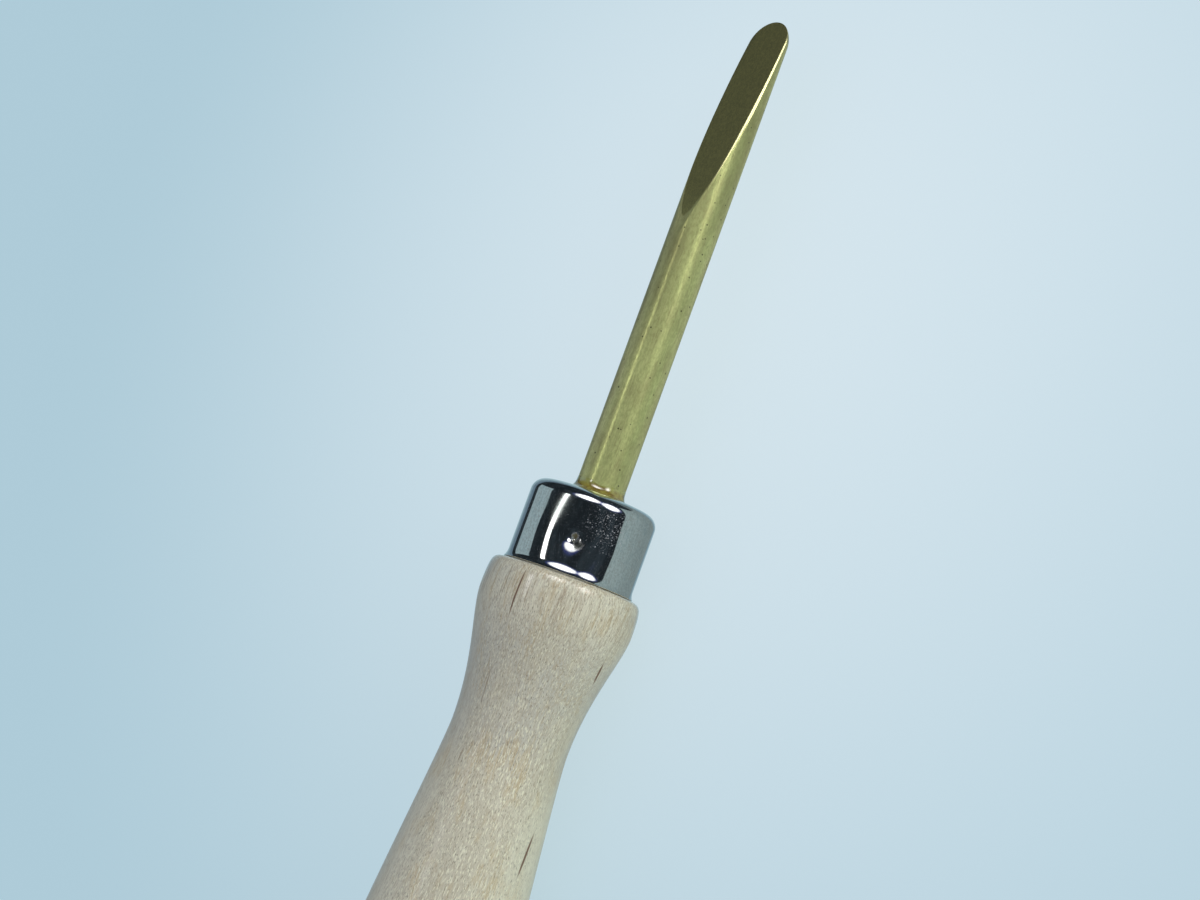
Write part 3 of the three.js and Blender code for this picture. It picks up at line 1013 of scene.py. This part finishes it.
def brass_skin(brass, place, drawn, mottle, dull):
    """The colour of the rod's round skin, dull and pale, with painted sheen on its sides and painted shade."""
    x, z = brass.part(place, "X"), brass.part(place, "Z")
    upwards = brass.measure("DOT_PRODUCT", place, UPPER_SIDE)
    outwards = brass.measure("DOT_PRODUCT", place, PAINTED_SHADE_SIDE)
    colour = brass.mix(brass.ramp(mottle, 0.32, 0.68), BRASS_OLIVE, BRASS_LIGHT)
    colour = brass.mix(brass.ramp(drawn, 0.5, 0.72) * 0.45, colour, BRASS_BROWN)
    colour = brass.mix(brass.ramp(dull, 0.42, 0.7) * 0.3, colour, BRASS_BROWN)
    # Painted sheen: away from the camera's side the skin is made paler, standing for the fill light there.
    colour = brass.mix(brass.ramp(upwards, 2.8, 1.2), colour, BRASS_PAINTED_SIDE_SHEEN, blend="MULTIPLY")
    # Painted shade: the upper side of the stretch before the flat is darkened.
    shade_before_flat = brass.ramp(x + dull * 6, 27, 41) * brass.ramp(z, 1.6, 2.7)
    colour = brass.mix(shade_before_flat * 0.38, colour, BRASS_PAINTED_SHADE)
    # Painted shade: one side beside the ground part is darkened.
    shade_beside_flat = brass.ramp(outwards, 2.72, 2.96) * brass.ramp(x, HEEL - 4, HEEL + 5)
    return brass.mix(shade_beside_flat * 0.4, colour, BRASS_PAINTED_SHADE)


def brass_rod():
    material = bpy.data.materials.new("brass_rod")
    brass = Finish(material)
    place = in_millimetres(brass)
    ground, edge = ground_masks(brass, place)
    drawn = brass.noise(brass.stretched(place, 3, 0.14, 0.14), 1, detail=3, roughness=0.65)
    mottle = brass.noise(brass.stretched(place, 0.5, 0.24, 0.24), 1, detail=3, roughness=0.65)
    dull = brass.noise(brass.stretched(place, 5, 1.6, 1.6), 1, detail=3)
    grain = brass.noise(place, 6, detail=2)
    spots = brass.add("TexVoronoi", {"feature": "F1"}, {"Vector": place, "Scale": 1.05})
    pit = (1 - brass.ramp(spots, 0.07, 0.16)) * brass.ramp(dull, 0.44, 0.52)

    # The broken edge is rubbed bright, and its lighter colour is partly a painted highlight.
    colour = brass.mix(edge, brass_skin(brass, place, drawn, mottle, dull), BRASS_RUBBED_AND_HIGHLIGHT)
    scratched = brass.ramp(grain * 0.5 + mottle * 0.5, 0.38, 0.62)
    ground_tone = brass.mix(scratched, BRASS_GROUND, BRASS_GROUND_LIGHT)
    colour = brass.mix(ground, colour, ground_tone)
    colour = brass.mix(pit * (1 - ground - edge) * 0.85, colour, BRASS_PIT)
    metallic = 0.4 + ground * 0.37 + edge * 0.3
    roughness = 0.3 + mottle * 0.12 - ground * 0.05 - edge * 0.12
    height = drawn * 0.4 + mottle * 0.5 + grain * 0.25 - pit
    bump = brass.add("Bump", {}, {"Strength": 0.3, "Distance": 0.008 * MM, "Height": height}, out="Normal")
    dulled = brass.add("BsdfPrincipled", {}, {
        "Base Color": colour, "Metallic": metallic, "Roughness": roughness, "Normal": bump,
        "Specular Tint": BRASS_RIM,
    })
    polished = brass.add("BsdfPrincipled", {}, {"Base Color": colour, "Metallic": 1, "Roughness": 0.09})
    bare = (1 - ground) * (POLISHED_SHARE * 0.5 + brass.ramp(mottle, 0.35, 0.7) * POLISHED_SHARE)
    surface = brass.add("MixShader", {}, {0: bare, 1: dulled, 2: polished})
    brass.add("OutputMaterial", {}, {"Surface": surface})
    return material


brass_finish = brass_rod()
print("brass mixed from", len(brass_finish.node_tree.nodes), "nodes")

# %% [markdown]
# ## The blade
#
# The blade is the rod, ground away above one plane, with an eased heel and a rounded nose. Cutting a
# cylinder with a boolean leaves a razor edge and long thin faces. Here each section is drawn exactly
# instead: part of a circle, a straight line, and a small round between them where a real edge is broken,
# more on the near side, where use has rubbed it. Every section has the same number of points, looked up along
# rays from its middle, so the rings join into one clean skin from the tang to the nose.

# %% Draw a section of the blade
TANG_END = FERRULE_END - 30
TANG_CHAMFER = 0.8
NOSE_LENGTH = 3.35
NEAR_EDGE = 0.48
FAR_EDGE = 0.06
FULL_EDGE_FROM = 3.8
LEAST_FLAT = math.radians(5)
LEAST_EDGE = math.radians(3)
LEVEL_RAY = 1e-6
FLAT_STEPS = 8
EDGE_STEPS = 8
ROUND_STEPS = 34


def rod_radius(x):
    """The rod's radius at a station, with the nose rounded as half an ellipsoid."""
    into_nose = max(0, x - (TIP - NOSE_LENGTH)) / NOSE_LENGTH
    return ROD * math.sqrt(max(0, 1 - into_nose ** 2))


def ground_height(x):
    """How high above the axis the ground plane lies at a station, with its eased heel."""
    if x <= HEEL_START:
        return ROD
    if x < HEEL_START + HEEL_RUN:
        return ROD - HEEL_RADIUS + math.sqrt(HEEL_RADIUS ** 2 - (x - HEEL_START) ** 2)
    return ROD - (x - HEEL) * math.tan(FLAT_SLOPE)


def section(x, broken_edge):
    """Half of a section, as (across, height) points from the middle of the flat round to the underside."""
    radius = rod_radius(x)
    top = min(ground_height(x), radius)
    thickness = top + radius
    edge = broken_edge * min(1, (thickness / FULL_EDGE_FROM) ** 2)
    middle = (top - radius) / 2
    centre_height = top - edge
    centre_across = math.sqrt(max(0, (radius - edge) ** 2 - centre_height ** 2))
    normal = math.atan2(centre_across, centre_height)
    edge_across, edge_height = radius * math.sin(normal), radius * math.cos(normal)
    first = max(math.atan2(centre_across, top - middle), LEAST_FLAT)
    second = max(math.atan2(edge_across, edge_height - middle), first + LEAST_EDGE)
    rays = [first * i / FLAT_STEPS for i in range(FLAT_STEPS)]
    rays += [first + (second - first) * i / EDGE_STEPS for i in range(EDGE_STEPS)]
    rays += [second + (math.pi - second) * i / ROUND_STEPS for i in range(ROUND_STEPS + 1)]
    points = []
    for ray in rays:
        across, rise = math.sin(ray), math.cos(ray)
        on_flat = (top - middle) / rise if rise > LEVEL_RAY else math.inf
        if on_flat * across <= centre_across:
            reach = on_flat
        else:
            reach = reach_of_circle(across, rise, middle, 0, 0, radius)
            hit = (reach * across, middle + reach * rise)
            if math.atan2(hit[0], hit[1]) < normal:
                reach = reach_of_circle(across, rise, middle, centre_across, centre_height, edge)
        points.append((reach * across, middle + reach * rise))
    return points


def reach_of_circle(across, rise, start_height, centre_across, centre_height, radius):
    """How far a ray from the middle goes until it leaves a circle."""
    to_across, to_height = centre_across, centre_height - start_height
    along_ray = across * to_across + rise * to_height
    aside = to_across ** 2 + to_height ** 2 - along_ray ** 2
    return along_ray + math.sqrt(max(0, radius ** 2 - aside))


print("flat's edge past the heel:", [round(v, 2) for v in section(HEEL + 5, NEAR_EDGE)[FLAT_STEPS]])

# %% Loft the blade
TANG_STEPS = 30
GROUND_STEPS = 60
NOSE_STEPS = 36
HALVINGS = 50


def blade_end():
    """The station where the nose and the ground plane meet and the blade ends."""
    near, far = TIP - NOSE_LENGTH, TIP
    for _ in range(HALVINGS):
        x = (near + far) / 2
        if rod_radius(x) + ground_height(x) > 0:
            near = x
        else:
            far = x
    return near


def blade_stations():
    """Where the blade is cut into sections, closest together at the tip."""
    start = TANG_END + TANG_CHAMFER
    nose = TIP - NOSE_LENGTH
    end = blade_end()
    stations = [start + (HEEL_START - start) * i / TANG_STEPS for i in range(TANG_STEPS)]
    stations += [HEEL_START + (nose - HEEL_START) * i / GROUND_STEPS for i in range(GROUND_STEPS)]
    stations += [nose + (end - nose) * (1 - (1 - i / NOSE_STEPS) ** 2) for i in range(NOSE_STEPS)]
    return [*stations, end - (end - nose) / NOSE_STEPS ** 2 / 4]


def blade_rings():
    """The sections as rings, between the tang's chamfered back and one point at the tip."""
    rings = []
    for x in blade_stations():
        near_half, far_half = section(x, NEAR_EDGE), section(x, FAR_EDGE)
        whole = near_half + [(-across, height) for across, height in reversed(far_half[1:-1])]
        rings.append([in_metres((x, -across, height)) for across, height in whole])
    smaller = 1 - TANG_CHAMFER / ROD
    chamfered = [(TANG_END * MM, y * smaller, z * smaller) for _, y, z in rings[0]]
    back = [(TANG_END * MM, 0, 0)] * len(chamfered)
    last = rings[-1]
    front = [(blade_end() * MM, 0, sum(z for _, _, z in last) / len(last))] * len(last)
    return [back, chamfered, *rings, front]


finish_piece(
    ring_mesh("ground_blade", blade_rings(), closed=False),
    sharpest=40, node="blade", material=brass_finish,
)

# %% [markdown]
# ## Amber glue
#
# The glue that holds the rod wells up round it and sets as a glossy amber fillet, a little uneven because
# nobody wiped it. It is hard resin, so it has its own deep colour under a smooth, wet-looking surface. Where
# it thins out on the rod the brass shows through, and at its foot a painted yellow glow stands for the light
# that gathers there, so its colour follows its height and its distance from the rod. A clear resin that
# bends light would look the same from near by and take far longer to render.

# %% Finish for the glue
GLUE_BROWN = tone(126, 106, 42)
GLUE_AMBER = tone(152, 140, 62)
GLUE_THIN = tone(166, 168, 96)
# A painted glow, standing for light gathered in the fillet's foot.
GLUE_FOOT_PAINTED_GLOW = tone(232, 232, 130)


def amber_glue():
    material = bpy.data.materials.new("amber_glue")
    glue = Finish(material)
    place = in_millimetres(glue)
    x = glue.part(place, "X")
    off_axis = glue.add("VectorMath", {"operation": "MULTIPLY"}, {0: place, 1: (0, 1, 1)})
    from_axis = glue.measure("LENGTH", off_axis)
    cloud = glue.noise(place, 1.3, detail=3)
    swell = glue.noise(place, 1.2, detail=1)
    colour = glue.mix(glue.ramp(cloud, 0.4, 0.62), GLUE_BROWN, GLUE_AMBER)
    colour = glue.mix(glue.ramp(x + cloud * 0.8, FERRULE_END + 1.2, FERRULE_END + 1.9), colour, GLUE_THIN)
    # Painted light: the outer foot of the fillet glows pale yellow.
    colour = glue.mix(glue.ramp(from_axis + cloud * 0.4, 4.05, 4.3) * 0.7, colour, GLUE_FOOT_PAINTED_GLOW)
    bump = glue.add("Bump", {}, {"Strength": 0.2, "Distance": 0.04 * MM, "Height": swell}, out="Normal")
    resin = glue.add("BsdfPrincipled", {}, {
        "Base Color": colour, "Roughness": 0.1 + cloud * 0.05, "Normal": bump,
        "IOR": 1.56, "Coat Weight": 1, "Coat Roughness": 0.03, "Coat IOR": 1.8,
    })
    glue.add("OutputMaterial", {}, {"Surface": resin})
    return material


glue_finish = amber_glue()
print("glue mixed from", len(glue_finish.node_tree.nodes), "nodes")

# %% Pour the glue
FILLET_RISE = 1.4
FILLET_SPREAD = 0.85
FILLET_EDGE = 0.1
GLUE_RADIUS = 3.35
POOL = 1
POOL_POINT = 2
FILLET_STEPS = 14


def glue_rings():
    """Round the tang from the bottom of its pool, out over the ferrule and up the fillet to the rod."""
    inner = ROD + SEAT_GAP
    base = FERRULE_END + SEAT_GAP
    pool = TANG_END - SEAT_GAP
    rings = []

    def ring(radius_at, station_at):
        rings.append([in_metres(on_round(station_at(a), radius_at(a), a)) for a in even_angles])

    def spread(a):
        return FILLET_SPREAD * (1 + 0.18 * math.sin(2 * a + 0.6) + 0.1 * math.sin(5 * a + 1.9))

    def rise(a):
        return FILLET_RISE * (1 + 0.12 * math.sin(3 * a + 2.4) + 0.08 * math.sin(7 * a))

    ring(lambda a: 0, lambda a: pool - POOL - POOL_POINT)
    ring(lambda a: GLUE_RADIUS, lambda a: pool - POOL)
    ring(lambda a: GLUE_RADIUS, lambda a: base)
    ring(lambda a: HOLE_RADIUS + spread(a), lambda a: base)
    for i in range(FILLET_STEPS + 1):
        t = i / FILLET_STEPS
        ring(
            lambda a: inner + (HOLE_RADIUS + spread(a) - inner) * (1 - t) ** 2,
            lambda a: base + FILLET_EDGE + (rise(a) - FILLET_EDGE) * t * t,
        )
    ring(lambda a: inner, lambda a: pool)
    ring(lambda a: 0, lambda a: pool)
    return rings


finish_piece(
    ring_mesh("glue_fillet", glue_rings(), closed=False),
    sharpest=50, node="adhesive", material=glue_finish,
)
